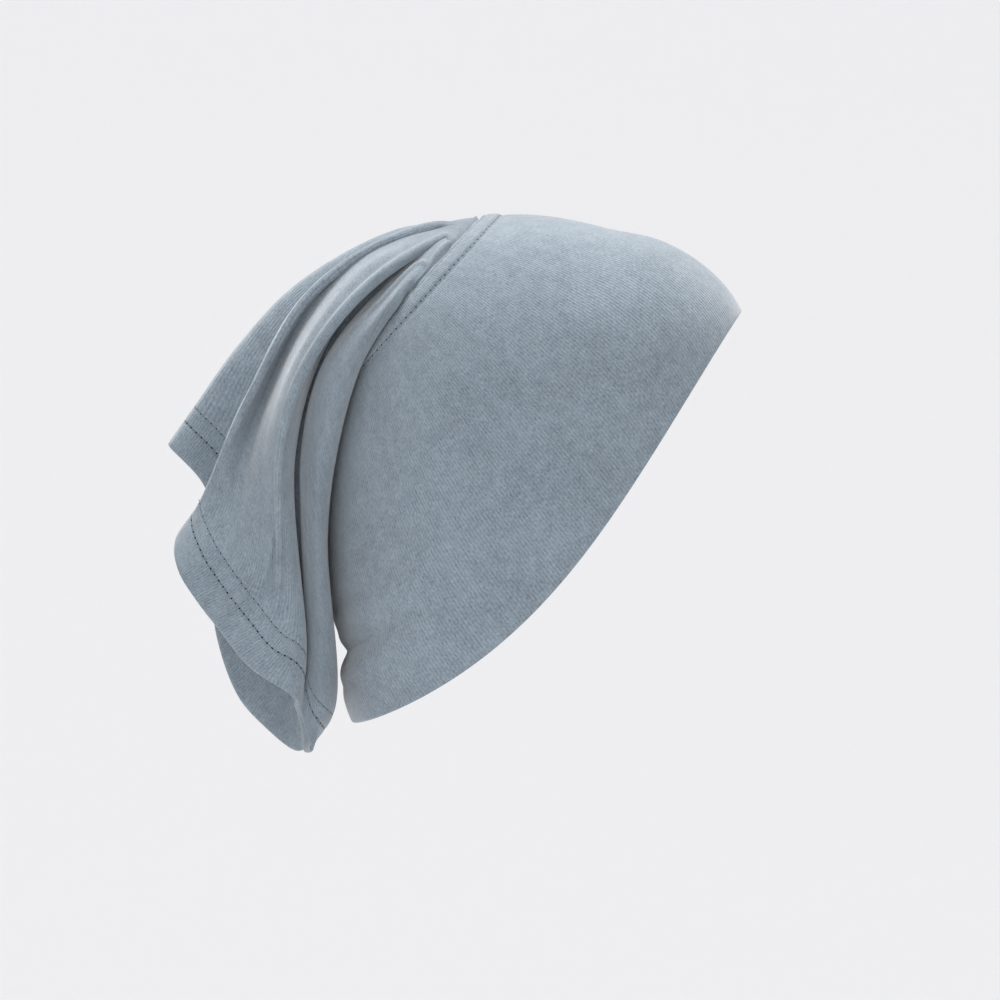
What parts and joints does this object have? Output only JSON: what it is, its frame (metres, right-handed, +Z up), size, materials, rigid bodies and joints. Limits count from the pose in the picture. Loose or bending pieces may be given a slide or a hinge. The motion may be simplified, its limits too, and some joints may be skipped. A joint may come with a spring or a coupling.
{
  "type": "hijab underscarf cap",
  "caption": "Soft jersey underscarf cap: a wide doubled band round the head, and a gathered tube behind it whose hemmed open end hangs down the back in folds.",
  "frame": {"origin": "the inside of the top of the band, where the crown of the head bears", "axes": "+X the way the face looks, +Z up, -Y the wearer's right"},
  "size_m": [0.2403, 0.148, 0.2277],
  "materials": {
    "band_jersey": "fine matt jersey, two plies",
    "seam_jersey": "fine matt jersey, topstitched",
    "drape_jersey": "fine matt jersey, one ply",
    "hem_jersey": "fine matt jersey, turned up and topstitched"
  },
  "bodies": {
    "root": {"headband": "band_jersey", "joining_seam": "seam_jersey", "drape": "drape_jersey", "drape_hem": "hem_jersey"}
  },
  "joints": []
}
